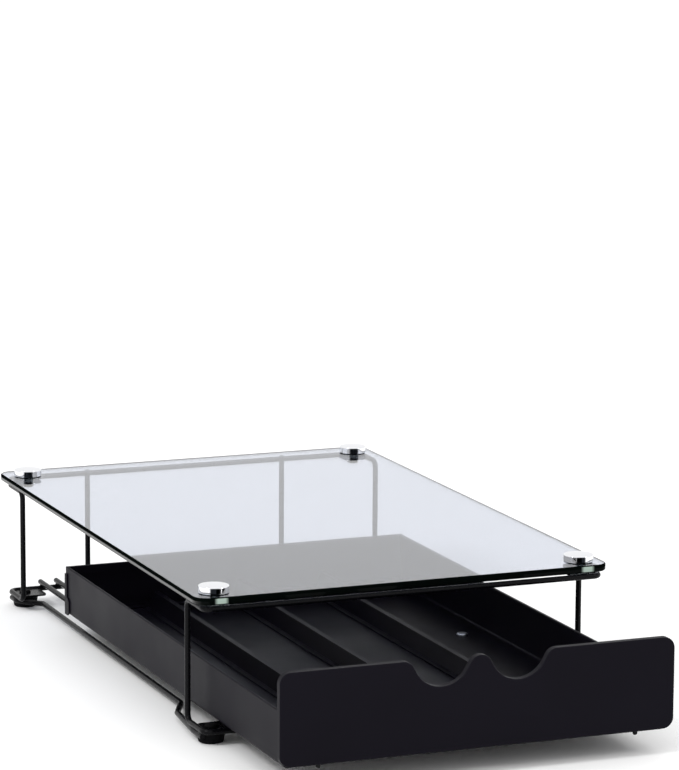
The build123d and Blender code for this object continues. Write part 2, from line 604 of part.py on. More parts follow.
def guide_screw():
    """A screw through the tray's floor, with a low domed head inside the drawer."""
    head_low = TRAY_FLOOR_Z + SHEET_GAP
    head = rod(0, 0, head_low, head_low + GUIDE_HEAD_HEIGHT, GUIDE_HEAD_R)
    head = fillet(head.faces().sort_by(Axis.Z)[-1].edges(), GUIDE_HEAD_HEIGHT * 0.7)
    return head + rod(0, 0, GUIDE_NUT_LOW_Z - GUIDE_SCREW_BELOW_NUT, head_low, GUIDE_SCREW_R)


def guide_nut():
    """A hexagon nut below the washer."""
    nut = Pos(0, 0, GUIDE_NUT_LOW_Z) * hexagon(GUIDE_NUT_ACROSS_FLATS, GUIDE_NUT_HEIGHT)
    return nut - rod(0, 0, GUIDE_NUT_LOW_Z - 1, WASHER_LOW_Z + 1, GUIDE_HOLE_R)


def front_nub(side):
    """A round-tipped nub under the front, in line with the slot of the rail behind it."""
    top_z = FRONT_BOTTOM_Z - SHEET_GAP
    tip_z = FRONT_BOTTOM_Z - NUB_DROP
    shank = rod(0, 0, tip_z, top_z, NUB_R)
    shank = fillet(shank.faces().sort_by(Axis.Z)[0].edges(), NUB_R * 0.9)
    return Pos(side * RAIL_MID_X, FRONT_Y + FRONT_THICKNESS / 2, 0) * shank


bush_r = SLOT_WIDTH / 2 - GUIDE_BUSH_SIDE_GAP
parts["guide_screws"] = at_guides(guide_screw())
parts["guide_bushes"] = at_guides(ring(bush_r, GUIDE_HOLE_R, WASHER_TOP_Z, TRAY_UNDER_Z))
parts["guide_washers"] = at_guides(ring(GUIDE_WASHER_R, GUIDE_HOLE_R, WASHER_LOW_Z, WASHER_TOP_Z))
parts["guide_nuts"] = at_guides(guide_nut())
for side_name, side in SIDES.items():
    parts[f"{side_name}_front_nub"] = front_nub(side)

# ---------------------------------------------------------------- writing
os.makedirs("parts", exist_ok=True)
for name, shape in parts.items():
    export_step(Pos(0, SHIFT_Y, 0) * shape, f"parts/{name}.step")
wire_face = sqrt(WIRE_R ** 2 - (WASHER_LOW_Z - LEG_LOW_Z) ** 2)
open_limit = GUIDE_Y - GUIDE_WASHER_R - (wire_face - LEG_REACH_Y) - STOP_GAP
print("nodes", len(parts), "shift in y", round(SHIFT_Y, 3))
print("travel from rest: closing", OPEN_AT_REST, "opening", round(open_limit, 2))
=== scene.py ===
"""Looks of the coffee pod drawer: materials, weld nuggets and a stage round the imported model."""
import math

import bpy
import numpy as np
from bpy.props import FloatProperty, FloatVectorProperty, PointerProperty
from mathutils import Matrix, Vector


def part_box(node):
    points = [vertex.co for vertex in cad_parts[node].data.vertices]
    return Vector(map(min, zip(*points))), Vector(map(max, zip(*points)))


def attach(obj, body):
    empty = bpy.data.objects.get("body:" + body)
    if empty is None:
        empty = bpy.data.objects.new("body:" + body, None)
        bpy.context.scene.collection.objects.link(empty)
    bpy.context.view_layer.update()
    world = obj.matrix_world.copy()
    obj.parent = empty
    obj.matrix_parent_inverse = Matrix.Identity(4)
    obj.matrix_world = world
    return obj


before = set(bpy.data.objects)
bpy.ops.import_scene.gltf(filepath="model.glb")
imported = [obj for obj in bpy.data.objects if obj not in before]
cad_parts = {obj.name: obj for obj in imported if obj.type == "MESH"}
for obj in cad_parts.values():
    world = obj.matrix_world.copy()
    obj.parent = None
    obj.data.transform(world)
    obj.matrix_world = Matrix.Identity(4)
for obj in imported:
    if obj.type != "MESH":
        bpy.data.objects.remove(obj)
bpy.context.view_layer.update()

bl_info = {
    "name": "Coffee Pod Drawer",
    "version": (1, 0, 0),
    "blender": (4, 5, 0),
    "location": "3D View > Sidebar > Pod Drawer",
    "description": "Dresses the glass-topped wire stand and its sliding drawer",
    "category": "Object",
}

STAND = "stand"

# a Mix node that mixes colours: its input sockets and its output
FACTOR, COLOUR_A, COLOUR_B = 0, 6, 7
MIXED = 2
# where nearly all the values of a noise lie
NOISE_RANGE = {"From Min": 0.3, "From Max": 0.7}

# metres: how far under the top of the glass its painted dark line starts to fade, and where it has
# gone
PAINTED_LINE_SOLID = 0.0022
PAINTED_LINE_GONE = 0.0026
# metres from the middle of a fixing: where the painted pale patch for its sleeve, seen through the
# glass, starts to fade, and ends
PAINTED_SLEEVE_SOLID = 0.0026
PAINTED_SLEEVE_GONE = 0.005
# the way that the side of a cap faces where its painted dark reflection, an upright band, is drawn
PAINTED_REFLECTION_FACES = (-0.26, -0.966, 0.0)

# weld nuggets: the grid of one, the height of its two slow waves, and its poles past the last ring
RINGS, SPOKES = 9, 20
WAVE_AROUND, WAVE_DOWN = 0.07, 0.05
POLE_OUT = 1.02
# millimetres: the stand's wire, and how far from the ends of a side wire its welds are
WIRE_R = 2.0
SIDE_WELD_INSET = 3.5
# how the place of a plate's weld is shared between the plate's outer and inner edges
OUTER_SHARE, INNER_SHARE = 0.35, 0.65
# radii of a nugget along X, Y and Z, as parts of the nugget setting
RAIL_WELD = (1.0, 1.0, 0.5)
STOP_WELD = (0.9, 0.5, 0.9)
SIDE_WELD = (0.7, 1.6, 0.5)
PLATE_SIDE_WELD = (0.45, 1.7, 0.45)
PLATE_END_WELD = (1.7, 0.45, 0.45)

# stage, in metres
WHITE = (1.0, 1.0, 1.0, 1.0)
FLOOR_HALF = 30.0
KEY_PLACE = (-2.2, -0.6, 2.3)
FILL_PLACE = (1.9, -1.8, 1.9)
LAMP_SIZE = 0.6
LAMP_AIM = (0.0, 0.0, 0.05)
CLIP_NEAR, CLIP_FAR = 0.05, 200.0
SENSOR_WIDTH_MM = 36.0


# ---------------------------------------------------------------- colours and nodes
def linear(hex_colour):
    """sRGB hex to linear RGBA: each channel goes through the sRGB curve's inverse."""
    values = [int(hex_colour.lstrip("#")[i:i + 2], 16) / 255 for i in (0, 2, 4)]
    channels = [v / 12.92 if v <= 0.04045 else ((v + 0.055) / 1.055) ** 2.4 for v in values]
    return (*channels, 1.0)


def add(tree, kind, inputs=None, **settings):
    """Adds one node with its settings. Each input, by name or number, is joined to the socket
    that is given for it or takes the value."""
    made = tree.nodes.new(kind)
    for name, value in settings.items():
        setattr(made, name, value)
    for socket, value in (inputs or {}).items():
        if isinstance(value, bpy.types.NodeSocket):
            tree.links.new(value, made.inputs[socket])
        else:
            made.inputs[socket].default_value = value
    return made


def new_material(name):
    """A node material without nodes, and its node tree."""
    material = bpy.data.materials.new(name)
    material.use_nodes = True
    material.node_tree.nodes.clear()
    return material, material.node_tree


def per_mm(size_mm):
    """A texture scale on Object coordinates, which are metres, for features size_mm across."""
    return 1000.0 / size_mm


# ---------------------------------------------------------------- materials
def powder_coated_sheet(look):
    """Folded mild steel under baked powder coat: the front looks flat black, the side that is
    seen at a slant goes dark grey; a faint orange peel (real 0.4 mm, drawn at 1.6 mm so that it
    shows) and slow changes of gloss over about 60 mm."""
    material, tree = new_material("satin_black_powder_coat")
    place = add(tree, "ShaderNodeTexCoord").outputs["Object"]
    peel = add(tree, "ShaderNodeTexNoise", {
        "Vector": place, "Scale": per_mm(1.6), "Detail": 1.0})
    patches = add(tree, "ShaderNodeTexNoise", {
        "Vector": place, "Scale": per_mm(60.0), "Detail": 2.0})
    paint = add(tree, "ShaderNodeMix", {
        FACTOR: patches.outputs["Fac"], COLOUR_A: look.sheet, COLOUR_B: look.sheet_worn},
        data_type="RGBA")
    gloss = add(tree, "ShaderNodeMapRange", {
        "Value": patches.outputs["Fac"], **NOISE_RANGE, "To Min": 0.36, "To Max": 0.46})
    bump = add(tree, "ShaderNodeBump", {"Height": peel.outputs["Fac"], "Distance": 0.000006})
    shader = add(tree, "ShaderNodeBsdfPrincipled", {
        "Base Color": paint.outputs[MIXED], "Roughness": gloss.outputs[0],
        "Specular IOR Level": 0.05, "Normal": bump.outputs[0]})
    add(tree, "ShaderNodeOutputMaterial", {"Surface": shader.outputs[0]})
    return material


def coated_wire(look):
    """Drawn steel wire, dip-coated black: a thin streak of light along it, with a slow ripple of
    the coating every 9 mm and fine grain."""
    material, tree = new_material("semi_gloss_black_wire_coating")
    place = add(tree, "ShaderNodeTexCoord").outputs["Object"]
    ripple = add(tree, "ShaderNodeTexNoise", {
        "Vector": place, "Scale": per_mm(9.0), "Detail": 2.0})
    grain = add(tree, "ShaderNodeTexNoise", {
        "Vector": place, "Scale": per_mm(1.3), "Detail": 2.0})
    coat = add(tree, "ShaderNodeMix", {
        FACTOR: ripple.outputs["Fac"], COLOUR_A: look.wire, COLOUR_B: look.wire_worn},
        data_type="RGBA")
    gloss = add(tree, "ShaderNodeMapRange", {
        "Value": grain.outputs["Fac"], **NOISE_RANGE, "To Min": 0.2, "To Max": 0.3})
    fine = add(tree, "ShaderNodeBump", {"Height": grain.outputs["Fac"], "Distance": 0.00001})
    bump = add(tree, "ShaderNodeBump", {
        "Height": ripple.outputs["Fac"], "Distance": 0.00005, "Normal": fine.outputs[0]})
    shader = add(tree, "ShaderNodeBsdfPrincipled", {
        "Base Color": coat.outputs[MIXED], "Roughness": gloss.outputs[0],
        "Specular IOR Level": 0.1, "Normal": bump.outputs[0]})
    add(tree, "ShaderNodeOutputMaterial", {"Surface": shader.outputs[0]})
    return material


def float_glass(look):
    """Toughened soda-lime float glass: faintly lavender faces with a trace of smears 35 mm wide;
    long edges in the glass's own green-grey, made darker as painted dark reflection, under a
    painted dark line 2.2 mm deep for the top arris and its mirror image inside the edge; painted
    near-black arrises and ends for the dark seen in them; and a painted pale patch for the white
    sleeve of a fixing seen through the end before it."""
    material, tree = new_material("toughened_float_glass_painted_dark")
    place = add(tree, "ShaderNodeTexCoord").outputs["Object"]
    spot = add(tree, "ShaderNodeSeparateXYZ", {0: place})
    geometry = add(tree, "ShaderNodeNewGeometry")
    normal = add(tree, "ShaderNodeSeparateXYZ", {0: geometry.outputs["Normal"]})
    tilt = add(tree, "ShaderNodeMath", {0: normal.outputs["Z"]}, operation="ABSOLUTE")
    along = add(tree, "ShaderNodeMath", {0: normal.outputs["Y"]}, operation="ABSOLUTE")
    on_face = add(tree, "ShaderNodeMapRange", {
        "Value": tilt.outputs[0], "From Min": 0.82, "From Max": 0.9})

    # where dark is painted on the glass for dark things reflected in it: arrises, ends and the line
    # under the top, but not the faces
    on_arris = add(tree, "ShaderNodeMapRange", {
        "Value": tilt.outputs[0], "From Min": 0.3, "From Max": 0.5, "To Max": 0.9})
    on_end = add(tree, "ShaderNodeMapRange", {
        "Value": along.outputs[0], "From Min": 0.3, "From Max": 0.8, "To Max": 0.95})
    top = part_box("glass_top")[1][2]
    line = add(tree, "ShaderNodeMapRange", {
        "Value": spot.outputs["Z"], "From Min": top - PAINTED_LINE_GONE,
        "From Max": top - PAINTED_LINE_SOLID, "To Max": 1.0})
    dark = add(tree, "ShaderNodeMath", {0: on_arris.outputs[0], 1: on_end.outputs[0]},
               operation="MAXIMUM")
    dark = add(tree, "ShaderNodeMath", {0: dark.outputs[0], 1: line.outputs[0]},
               operation="MAXIMUM")
    rim = add(tree, "ShaderNodeMath", {0: 1.0, 1: on_face.outputs[0]}, operation="SUBTRACT")
    painted_dark_share = add(tree, "ShaderNodeMath", {0: dark.outputs[0], 1: rim.outputs[0]},
                 operation="MULTIPLY")

    # clear glass
    smear = add(tree, "ShaderNodeTexNoise", {
        "Vector": place, "Scale": per_mm(35.0), "Detail": 3.0})
    # the long edges get the glass's own green-grey, made darker as painted dark reflection
    own_tint_and_painted_dark = add(tree, "ShaderNodeMix", {
        FACTOR: on_face.outputs[0], COLOUR_A: look.glass_edge_green_painted_dark, COLOUR_B: look.glass},
        data_type="RGBA")
    rough = add(tree, "ShaderNodeMapRange", {
        "Value": smear.outputs["Fac"], "From Min": 0.45, "From Max": 0.8, "To Max": 0.01})
    clear = add(tree, "ShaderNodeBsdfPrincipled", {
        "Base Color": own_tint_and_painted_dark.outputs[MIXED], "Roughness": rough.outputs[0], "IOR": 1.52,
        "Transmission Weight": 1.0})

    # painted dark glass, with painted pale patches for the sleeves seen through it
    low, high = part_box("front_right_cap")
    fixing_x = (low[0] + high[0]) / 2
    side = add(tree, "ShaderNodeMath", {0: spot.outputs["X"]}, operation="ABSOLUTE")
    off = add(tree, "ShaderNodeMath", {0: side.outputs[0], 1: fixing_x}, operation="SUBTRACT")
    off = add(tree, "ShaderNodeMath", {0: off.outputs[0]}, operation="ABSOLUTE")
    # painted pale patch: stands for a white sleeve seen through the end of the glass
    near = add(tree, "ShaderNodeMapRange", {
        "Value": off.outputs[0], "From Min": PAINTED_SLEEVE_SOLID, "From Max": PAINTED_SLEEVE_GONE,
        "To Min": 0.85, "To Max": 0.0})
    upright = add(tree, "ShaderNodeMapRange", {
        "Value": tilt.outputs[0], "From Min": 0.2, "From Max": 0.4, "To Min": 1.0, "To Max": 0.0})
    patch = add(tree, "ShaderNodeMath", {0: near.outputs[0], 1: upright.outputs[0]},
                operation="MULTIPLY")
    body = add(tree, "ShaderNodeMix", {
        FACTOR: patch.outputs[0], COLOUR_A: look.glass_painted_dark, COLOUR_B: look.glass_painted_sleeve},
        data_type="RGBA")
    matt = add(tree, "ShaderNodeBsdfPrincipled", {
        "Base Color": body.outputs[MIXED], "Roughness": 0.3, "Specular IOR Level": 0.0})
    both = add(tree, "ShaderNodeMixShader", {
        0: painted_dark_share.outputs[0], 1: clear.outputs[0], 2: matt.outputs[0]})
    add(tree, "ShaderNodeOutputMaterial", {"Surface": both.outputs[0]})
    return material


def chrome_plate(look):
    """Polished brass under bright chrome: a mirror with hair-fine rub marks, white, with a painted
    dark reflection: one upright band drawn where the side faces the dark of a room."""
    material, tree = new_material("bright_chrome_plate_painted_reflection")
    place = add(tree, "ShaderNodeTexCoord").outputs["Object"]
    rub = add(tree, "ShaderNodeTexNoise", {
        "Vector": place, "Scale": per_mm(1.1), "Detail": 5.0, "Roughness": 0.75})
    # painted reflection: the dark upright band stands for a dark room seen in the chrome
    geometry = add(tree, "ShaderNodeNewGeometry")
    facing = add(tree, "ShaderNodeVectorMath", {
        0: geometry.outputs["Normal"], 1: PAINTED_REFLECTION_FACES}, operation="DOT_PRODUCT")
    band = add(tree, "ShaderNodeMapRange", {
        "Value": facing.outputs["Value"], "From Min": 0.93, "From Max": 0.965})
    plate = add(tree, "ShaderNodeMix", {
        FACTOR: band.outputs[0], COLOUR_A: look.chrome, COLOUR_B: look.chrome_painted_reflection},
        data_type="RGBA")
    gloss = add(tree, "ShaderNodeMapRange", {
        "Value": rub.outputs["Fac"], "From Min": 0.35, "From Max": 0.75, "To Min": 0.04,
        "To Max": 0.13})
    bump = add(tree, "ShaderNodeBump", {"Height": rub.outputs["Fac"], "Distance": 0.000004})
    shader = add(tree, "ShaderNodeBsdfPrincipled", {
        "Base Color": plate.outputs[MIXED], "Metallic": 1.0, "Roughness": gloss.outputs[0],
        "Normal": bump.outputs[0]})
    add(tree, "ShaderNodeOutputMaterial", {"Surface": shader.outputs[0]})
    return material


def moulded_rubber(look):
    """Moulded black rubber: matt, faintly grained from the tool, a little grey where it is
    handled."""
    material, tree = new_material("moulded_black_rubber")
    place = add(tree, "ShaderNodeTexCoord").outputs["Object"]
    grain = add(tree, "ShaderNodeTexNoise", {
        "Vector": place, "Scale": per_mm(1.2), "Detail": 4.0, "Roughness": 0.7})
    bloom = add(tree, "ShaderNodeTexNoise", {
        "Vector": place, "Scale": per_mm(7.0), "Detail": 2.0})
    skin = add(tree, "ShaderNodeMix", {
        FACTOR: bloom.outputs["Fac"], COLOUR_A: look.rubber, COLOUR_B: look.rubber_bloom},
        data_type="RGBA")
    gloss = add(tree, "ShaderNodeMapRange", {
        "Value": grain.outputs["Fac"], **NOISE_RANGE, "To Min": 0.62, "To Max": 0.82})
    bump = add(tree, "ShaderNodeBump", {"Height": grain.outputs["Fac"], "Distance": 0.00005})
    shader = add(tree, "ShaderNodeBsdfPrincipled", {
        "Base Color": skin.outputs[MIXED], "Roughness": gloss.outputs[0],
        "Specular IOR Level": 0.06, "Normal": bump.outputs[0]})
    add(tree, "ShaderNodeOutputMaterial", {"Surface": shader.outputs[0]})
    return material


def clear_vinyl(look):
    """Soft clear PVC: milky, with a dull skin."""
    material, tree = new_material("milky_clear_vinyl")
    place = add(tree, "ShaderNodeTexCoord").outputs["Object"]
    skin = add(tree, "ShaderNodeTexNoise", {
        "Vector": place, "Scale": per_mm(1.5), "Detail": 3.0})
    milk = add(tree, "ShaderNodeMix", {
        FACTOR: skin.outputs["Fac"], COLOUR_A: look.vinyl, COLOUR_B: look.vinyl_shade},
        data_type="RGBA")
    gloss = add(tree, "ShaderNodeMapRange", {
        "Value": skin.outputs["Fac"], **NOISE_RANGE, "To Min": 0.2, "To Max": 0.34})
    bump = add(tree, "ShaderNodeBump", {"Height": skin.outputs["Fac"], "Distance": 0.00002})
    shader = add(tree, "ShaderNodeBsdfPrincipled", {
        "Base Color": milk.outputs[MIXED], "Roughness": gloss.outputs[0],
        "Transmission Weight": 0.45, "IOR": 1.5, "Normal": bump.outputs[0]})
    add(tree, "ShaderNodeOutputMaterial", {"Surface": shader.outputs[0]})
    return material


def plated_steel(name, light, dark, metallic, specular):
    """Turned or pressed steel with a finish of its own: blotches a few millimetres wide and fine
    lathe marks."""
    material, tree = new_material(name)
    place = add(tree, "ShaderNodeTexCoord").outputs["Object"]
    blotch = add(tree, "ShaderNodeTexNoise", {
        "Vector": place, "Scale": per_mm(3.0), "Detail": 3.0})
    marks = add(tree, "ShaderNodeTexNoise", {
        "Vector": place, "Scale": per_mm(0.8), "Detail": 2.0})
    plate = add(tree, "ShaderNodeMix", {
        FACTOR: blotch.outputs["Fac"], COLOUR_A: light, COLOUR_B: dark}, data_type="RGBA")
    gloss = add(tree, "ShaderNodeMapRange", {
        "Value": blotch.outputs["Fac"], **NOISE_RANGE, "To Min": 0.24, "To Max": 0.4})
    bump = add(tree, "ShaderNodeBump", {"Height": marks.outputs["Fac"], "Distance": 0.00001})
    shader = add(tree, "ShaderNodeBsdfPrincipled", {
        "Base Color": plate.outputs[MIXED], "Metallic": metallic, "Roughness": gloss.outputs[0],
        "Specular IOR Level": specular, "Normal": bump.outputs[0]})
    add(tree, "ShaderNodeOutputMaterial", {"Surface": shader.outputs[0]})
    return material


def zinc_plate(look):
    """Zinc-plated steel: cool grey metal, bright and blotchy."""
    return plated_steel("bright_zinc_plate", look.zinc, look.zinc_shade,
                        metallic=1.0, specular=0.5)


def black_oxide(look):
    """Blackened steel: near black with a dull oily sheen."""
    return plated_steel("black_oxide_steel", look.rubber, look.rubber_bloom,
                        metallic=0.0, specular=0.2)


def moulded_nylon(look):
    """Black nylon: fine moulded grain and a waxy sheen."""
    material, tree = new_material("moulded_black_nylon")
    place = add(tree, "ShaderNodeTexCoord").outputs["Object"]
    grain = add(tree, "ShaderNodeTexNoise", {
        "Vector": place, "Scale": per_mm(1.0), "Detail": 3.0})
    skin = add(tree, "ShaderNodeMix", {
        FACTOR: grain.outputs["Fac"], COLOUR_A: look.nylon, COLOUR_B: look.rubber_bloom},
        data_type="RGBA")
    gloss = add(tree, "ShaderNodeMapRange", {
        "Value": grain.outputs["Fac"], **NOISE_RANGE, "To Min": 0.4, "To Max": 0.52})
    bump = add(tree, "ShaderNodeBump", {"Height": grain.outputs["Fac"], "Distance": 0.00002})
    shader = add(tree, "ShaderNodeBsdfPrincipled", {
        "Base Color": skin.outputs[MIXED], "Roughness": gloss.outputs[0],
        "Specular IOR Level": 0.12, "Normal": bump.outputs[0]})
    add(tree, "ShaderNodeOutputMaterial", {"Surface": shader.outputs[0]})
    return material


# ---------------------------------------------------------------- CAD nodes
def named(*words):
    """The CAD nodes whose name holds one of these words."""
    return [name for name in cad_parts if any(word in name for word in words)]


def finish(maker, *names):
    """Gives the CAD nodes of these names one material, in all their slots."""
    material = maker(bpy.context.scene.pod_drawer_colours)
    for name in names:
        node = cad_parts[name]
        if not node.material_slots:
            node.data.materials.append(material)
        for slot in node.material_slots:
            slot.material = material


def corners(name):
    """The low and high corners of a CAD node's box, in millimetres."""
    low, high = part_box(name)
    return np.array(low) * 1000, np.array(high) * 1000


# ---------------------------------------------------------------- shapes
def new_object(name, data):
    """An object for this data, linked to the scene."""
    made = bpy.data.objects.new(name, data)
    bpy.context.scene.collection.objects.link(made)
    return made


def place_mesh(name, mesh, material, body):
    """An object at the origin for a mesh whose place is in its points."""
    mesh.polygons.foreach_set("use_smooth", [True] * len(mesh.polygons))
    mesh.materials.append(material)
    piece = new_object(name, mesh)
    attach(piece, body)


def nugget_points(radii, seed):
    """A weld nugget: an ellipsoid on angle around and angle from the pole, whose radius swells
    and dips by a few percent with two slow waves, so that no two look the same."""
    around = np.linspace(0, 2 * np.pi, SPOKES, endpoint=False)[None, :]
    down = np.linspace(0, np.pi, RINGS + 2)[1:-1, None]
    phase = np.random.default_rng(seed).uniform(0, 2 * np.pi, 2)
    swell = (1 + WAVE_AROUND * np.sin(2 * around + phase[0]) * np.sin(down)
             + WAVE_DOWN * np.sin(3 * down + phase[1]))
    x = radii[0] * swell * np.sin(down) * np.cos(around)
    y = radii[1] * swell * np.sin(down) * np.sin(around)
    z = radii[2] * swell * np.cos(down) * np.ones_like(around)
    return np.stack([x, y, z], axis=-1)


def many_nuggets(name, welds, size, material):
    """A nugget for each weld, joined in one mesh: grids with a fan of triangles at each pole.
    The number of a weld in its order is the seed of its random draws."""
    index = np.arange(RINGS * SPOKES).reshape(RINGS, SPOKES)
    turned = np.roll(index, -1, axis=1)
    quads = np.stack([index[:-1], index[1:], turned[1:], turned[:-1]], axis=-1).reshape(-1, 4)
    top, bottom = RINGS * SPOKES, RINGS * SPOKES + 1
    cap_high = np.stack([np.full(SPOKES, top), index[0], turned[0]], axis=-1)
    cap_low = np.stack([np.full(SPOKES, bottom), turned[-1], index[-1]], axis=-1)
    points, faces, start = [], [], 0
    for number, (place, proportions) in enumerate(welds):
        shell = nugget_points([size * part for part in proportions], number).reshape(-1, 3)
        poles = np.array([[0, 0, shell[:, 2].max() * POLE_OUT],
                          [0, 0, shell[:, 2].min() * POLE_OUT]])
        points.append(np.vstack([shell, poles]) + place)
        for block in (quads, cap_high, cap_low):
            faces += (block + start).tolist()
        start += RINGS * SPOKES + len(poles)
    mesh = bpy.data.meshes.new(name)
    mesh.from_pydata(np.vstack(points) / 1000, [], faces)
    mesh.update()
    place_mesh(name, mesh, material, STAND)


def stand_welds():
    """The place in millimetres and the proportions of each weld of the stand, one by one."""
    for end in ("front", "rear"):
        low, high = corners(f"{end}_leg_frame")
        y = low[1] + WIRE_R if end == "front" else high[1] - WIRE_R
        for rail in named("_rail"):
            rail_low, rail_high = corners(rail)
            x, z = (rail_low[0] + rail_high[0]) / 2, (rail_low[2] + rail_high[2]) / 2
            yield (x, y, z - WIRE_R), RAIL_WELD
    for name in named("stop_wire"):
        low, high = corners(name)
        for z in (low[2] + WIRE_R, high[2] - WIRE_R):
            yield ((low[0] + high[0]) / 2, low[1], z), STOP_WELD
    for name in named("side_wire"):
        low, high = corners(name)
        x = low[0] + WIRE_R if "left" in name else high[0] - WIRE_R
        for y in (low[1] + SIDE_WELD_INSET, high[1] - SIDE_WELD_INSET):
            yield (x, y, high[2]), SIDE_WELD
    for name in named("foot_plate", "glass_tab"):
        low, high = corners(name)
        out_x, in_x = (low[0], high[0]) if "left" in name else (high[0], low[0])
        out_y, in_y = (low[1], high[1]) if "front" in name else (high[1], low[1])
        z = (low[2] + high[2]) / 2
        yield (out_x, out_y * OUTER_SHARE + in_y * INNER_SHARE, z), PLATE_SIDE_WELD
        yield (out_x * OUTER_SHARE + in_x * INNER_SHARE, out_y, z), PLATE_END_WELD


# ---------------------------------------------------------------- settings
def colour(name, description, hex_colour):
    """A colour setting from the sRGB hex that is seen in plain light."""
    return FloatVectorProperty(name=name, description=description, subtype="COLOR", size=4,
                               min=0.0, max=1.0, default=linear(hex_colour))


def angle(name, description, degrees):
    """An angle setting from degrees."""
    return FloatProperty(name=name, description=description, subtype="ANGLE", unit="ROTATION",
                         default=math.radians(degrees))


class PodDrawerColours(bpy.types.PropertyGroup):
    """Colours of the finishes"""
    sheet: colour("Sheet", "Powder coat on the drawer", "#0c0a11")
    sheet_worn: colour("Sheet, dull", "Powder coat where it is duller", "#110f17")
    wire: colour("Wire", "Coating on the wires", "#050507")
    wire_worn: colour("Wire, worn", "Coating where it is thin", "#0a0a0d")
    glass: colour("Glass", "The glass seen through its faces", "#c3c8d4")
    # the glass's own green edge tint, made darker as painted dark reflection
    glass_edge_green_painted_dark: colour("Glass edge", "The glass seen into its long edges", "#22302c")
    # painted dark reflection on the arrises, the ends and the line under the top of the glass
    glass_painted_dark: colour("Ground glass", "Arrises and ends of the glass", "#050807")
    # painted image of a white sleeve seen through the end of the glass
    glass_painted_sleeve: colour("Sleeve in glass", "A sleeve seen through the end of the glass", "#b4c6bb")
    chrome: colour("Chrome", "The caps", "#eeeff2")
    # painted reflection: the dark band drawn on the caps' sides
    chrome_painted_reflection: colour("Chrome, dark band", "The dark band that the caps show", "#1c1e22")
    rubber: colour("Rubber", "The feet", "#060607")
    rubber_bloom: colour("Rubber bloom", "Greyer rubber", "#0d0d0f")
    vinyl: colour("Vinyl", "The spacers under the glass", "#eef3f1")
    vinyl_shade: colour("Vinyl, shaded", "Darker vinyl", "#d9e1de")
    zinc: colour("Zinc", "Plated screws and nuts", "#c2c5ca")
    zinc_shade: colour("Zinc, dull", "Dull plating", "#9da1a8")
    nylon: colour("Nylon", "Bushes and nubs", "#060607")
    floor: colour("Floor", "Studio floor", "#ffffff")


class PodDrawerSizes(bpy.types.PropertyGroup):
    """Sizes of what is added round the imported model"""
    nugget: FloatProperty(name="Weld nugget", description="Radius of a weld nugget",
                          default=0.0023, min=0.0005, max=0.004, subtype="DISTANCE",
                          unit="LENGTH", precision=5)


class PodDrawerStudio(bpy.types.PropertyGroup):
    """Camera and lamps"""
    lens: FloatProperty(name="Lens", description="Focal length on a 36 mm sensor",
                        default=177.565, subtype="DISTANCE_CAMERA", unit="CAMERA", precision=3)
    eye: FloatVectorProperty(name="Camera place", description="Where the camera stands",
                             default=(-0.97037, -2.44632, 0.67701), subtype="TRANSLATION",
                             unit="LENGTH", precision=5)
    yaw: angle("Camera yaw", "Turn to the right of +Y", 21.9521)
    pitch: angle("Camera pitch", "Tilt below the horizon", 10.1255)
    roll: angle("Camera roll", "Turn about the line of sight", 0.3143)
    sky: FloatProperty(name="Sky", description="Strength of the soft light from all round",
                       default=1.1, min=0.0)
    key: FloatProperty(name="Key lamp", description="Lamp at the front left", default=26.0,
                       min=0.0, unit="POWER")
    fill: FloatProperty(name="Fill lamp", description="Lamp at the right", default=10.0,
                        min=0.0, unit="POWER")


# ---------------------------------------------------------------- operators
class FinishGlass(bpy.types.Operator):
    """Gives the glass top its clear faces and dark edges"""
    bl_idname = "pod_drawer.finish_glass"
    bl_label = "Glass top"

    def execute(self, context):
        finish(float_glass, "glass_top")
        return {"FINISHED"}


class FinishCaps(bpy.types.Operator):
    """Plates the four caps, and finishes what holds the glass under them"""
    bl_idname = "pod_drawer.finish_caps"
    bl_label = "Caps and glass fixings"

    def execute(self, context):
        finish(chrome_plate, *named("_cap"))
        finish(moulded_rubber, "cap_washers")
        finish(clear_vinyl, "glass_sleeves", "glass_spacers")
        finish(black_oxide, "glass_bolts", "glass_nuts")
        return {"FINISHED"}


class FinishStand(bpy.types.Operator):
    """Coats the wires and plates of the stand"""
    bl_idname = "pod_drawer.finish_stand"
    bl_label = "Wires and plates"

    def execute(self, context):
        finish(coated_wire, *named("leg_frame", "side_wire", "_rail", "stop_wire", "foot_plate",
                                   "glass_tab"))
        return {"FINISHED"}


class AddWelds(bpy.types.Operator):
    """Adds a weld nugget wherever two wires or a wire and a plate meet"""
    bl_idname = "pod_drawer.add_welds"
    bl_label = "Welds"

    def execute(self, context):
        size = context.scene.pod_drawer_sizes.nugget * 1000
        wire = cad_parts["front_leg_frame"].material_slots[0].material
        many_nuggets("weld_nuggets", stand_welds(), size, wire)
        return {"FINISHED"}


class FinishFeet(bpy.types.Operator):
    """Gives the feet their rubber"""
    bl_idname = "pod_drawer.finish_feet"
    bl_label = "Rubber feet"

    def execute(self, context):
        feet = [name for name in named("_foot") if not name.endswith("plate")]
        finish(moulded_rubber, *feet)
        return {"FINISHED"}


class FinishDrawer(bpy.types.Operator):
    """Powder-coats the drawer's tray, back, front, liner and lane ribs"""
    bl_idname = "pod_drawer.finish_drawer"
    bl_label = "Drawer"

    def execute(self, context):
        finish(powder_coated_sheet, *named("drawer_", "lane_rib", "front_liner"))
        return {"FINISHED"}


class FinishGuides(bpy.types.Operator):
    """Finishes the screws, bushes, washers, nuts and nubs of the drawer"""
    bl_idname = "pod_drawer.finish_guides"
    bl_label = "Guides and screws"

    def execute(self, context):
        finish(zinc_plate, "guide_screws", "guide_washers", "guide_nuts", "front_screws")
        finish(moulded_nylon, "guide_bushes", *named("front_nub"))
        return {"FINISHED"}


